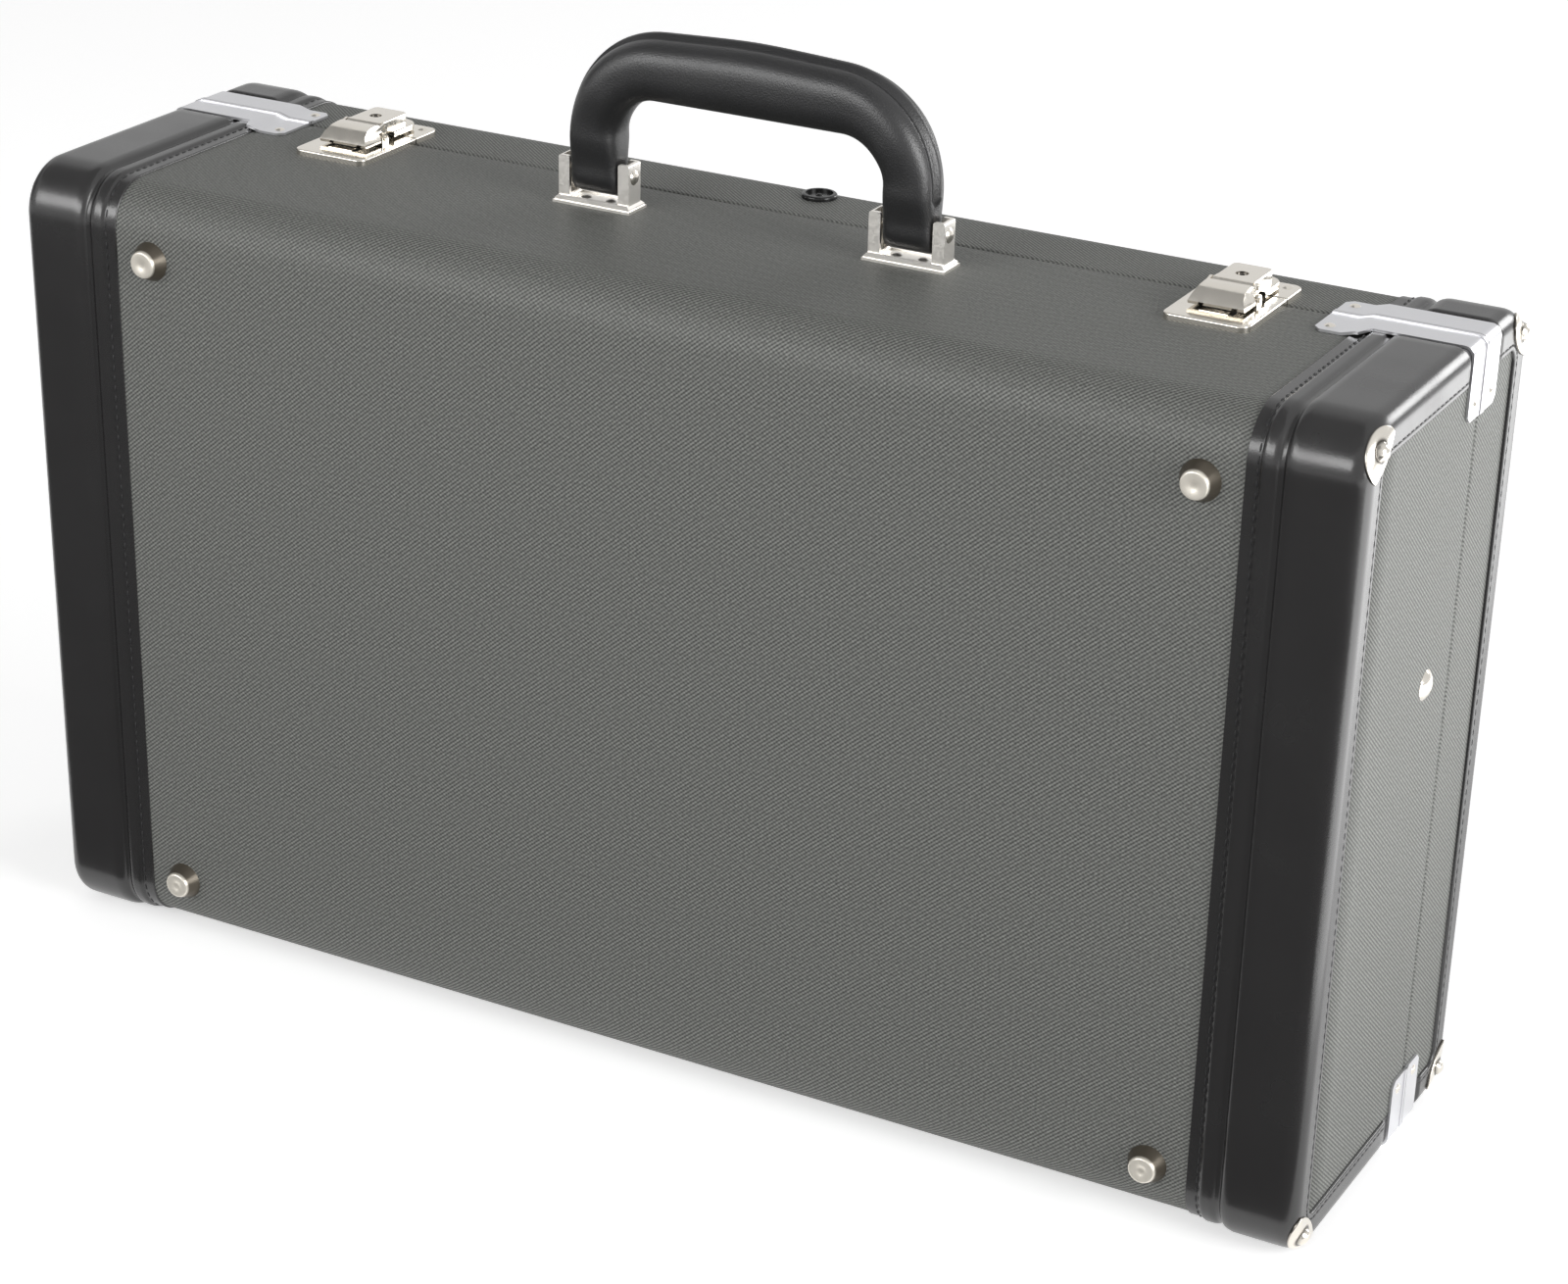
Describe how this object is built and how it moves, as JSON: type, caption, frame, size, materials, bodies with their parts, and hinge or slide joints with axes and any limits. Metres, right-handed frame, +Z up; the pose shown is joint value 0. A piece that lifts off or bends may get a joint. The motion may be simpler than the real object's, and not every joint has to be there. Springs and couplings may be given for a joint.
{
  "type": "hard trumpet case",
  "caption": "Rectangular hard trumpet case on its hinge side: padded end bands, edge clamps, corner caps, key-locking draw latches and a folding handle; fitted plush inside.",
  "frame": {"origin": "middle of the case's footprint, on the surface it stands on, hinge side down and handle up", "axes": "+X along the case, -Y out of the face with the four feet, +Y out of the lid, +Z up through the handle"},
  "size_m": [0.5624, 0.167, 0.3957],
  "materials": {
    "woven_cover": "matte ribbed woven covering, mid grey",
    "band_leatherette": "smooth semi-gloss black leatherette over padding",
    "lined_board": "plywood lined with black cloth",
    "plush": "black short-pile plush",
    "handle_vinyl": "black moulded grip with fine leather grain",
    "black_button": "glossy black moulded button",
    "satin_metal": "bright satin sheet",
    "nickel": "bright nickel plate"
  },
  "bodies": {
    "base": {"base_bottom_wall": "lined_board", "base_clamps": "satin_metal", "base_corner_caps": "nickel", "base_cover": "woven_cover", "base_end_covers": "woven_cover", "base_front_panel": "lined_board", "base_left_band": "band_leatherette", "base_left_wall": "lined_board", "base_nails": "nickel", "base_right_band": "band_leatherette", "base_right_wall": "lined_board", "base_rivets": "nickel", "base_tongue": "lined_board", "base_top_wall": "lined_board", "feet": "nickel", "foam_block": "plush", "handle_bracket_left": "nickel", "handle_bracket_right": "nickel", "handle_pins": "nickel", "hinge_leaves_base": "nickel", "hinge_pins": "nickel", "latch_pins": "nickel", "latch_plate_left": "nickel", "latch_plate_right": "nickel", "stay_rivets": "nickel"},
    "lid": {"hinge_leaves_lid": "nickel", "lid_back_panel": "lined_board", "lid_bottom_wall": "lined_board", "lid_clamps": "satin_metal", "lid_corner_caps": "nickel", "lid_cover": "woven_cover", "lid_end_covers": "woven_cover", "lid_left_band": "band_leatherette", "lid_left_wall": "lined_board", "lid_nails": "nickel", "lid_pad": "plush", "lid_right_band": "band_leatherette", "lid_right_wall": "lined_board", "lid_rivets": "nickel", "lid_stud": "black_button", "lid_top_wall": "lined_board", "strike_left": "nickel", "strike_right": "nickel"},
    "handle": {"handle_grip": "handle_vinyl", "handle_bushes": "nickel"},
    "lever_left": {"latch_lever_left": "nickel", "claw_pin_left": "nickel"},
    "claw_left": {"latch_claw_left": "nickel"},
    "lock_left": {"lock_plug_left": "nickel"},
    "lever_right": {"latch_lever_right": "nickel", "claw_pin_right": "nickel"},
    "claw_right": {"latch_claw_right": "nickel"},
    "lock_right": {"lock_plug_right": "nickel"},
    "accessory_lid": {"accessory_cover": "plush"}
  },
  "joints": [
    {"name": "lid_hinge", "type": "hinge", "parent": "base", "child": "lid", "pos_m": [0, 0.0345, 0.0018], "axis": [-1, 0, 0], "range_deg": [0, 95]},
    {"name": "handle_pivot", "type": "hinge", "parent": "base", "child": "handle", "pos_m": [0, 0.0055, 0.336], "axis": [1, 0, 0], "range_deg": [-85, 85]},
    {"name": "latch_lever_left_pivot", "type": "hinge", "parent": "base", "child": "lever_left", "pos_m": [-0.1875, 0.021, 0.3277], "axis": [-1, 0, 0], "range_deg": [0, 45]},
    {"name": "latch_claw_left_pivot", "type": "hinge", "parent": "lever_left", "child": "claw_left", "pos_m": [-0.1875, 0.0235, 0.3312], "axis": [1, 0, 0], "range_deg": [0, 99]},
    {"name": "lock_plug_left_turn", "type": "hinge", "parent": "claw_left", "child": "lock_left", "pos_m": [-0.1875, 0.0309, 0.3315], "axis": [0, 0, 1], "range_deg": [0, 90]},
    {"name": "latch_lever_right_pivot", "type": "hinge", "parent": "base", "child": "lever_right", "pos_m": [0.1875, 0.021, 0.3277], "axis": [-1, 0, 0], "range_deg": [0, 45]},
    {"name": "latch_claw_right_pivot", "type": "hinge", "parent": "lever_right", "child": "claw_right", "pos_m": [0.1875, 0.0235, 0.3312], "axis": [1, 0, 0], "range_deg": [0, 99]},
    {"name": "lock_plug_right_turn", "type": "hinge", "parent": "claw_right", "child": "lock_right", "pos_m": [0.1875, 0.0309, 0.3315], "axis": [0, 0, 1], "range_deg": [0, 90]},
    {"name": "accessory_lid_lift", "type": "slide", "parent": "base", "child": "accessory_lid", "axis": [0, 1, 0], "range_m": [0, 0.03]}
  ],
  "couplings": [
    {"joint": "latch_claw_left_pivot", "follows": "latch_lever_left_pivot", "ratio": 2.2},
    {"joint": "latch_claw_right_pivot", "follows": "latch_lever_right_pivot", "ratio": 2.2}
  ]
}
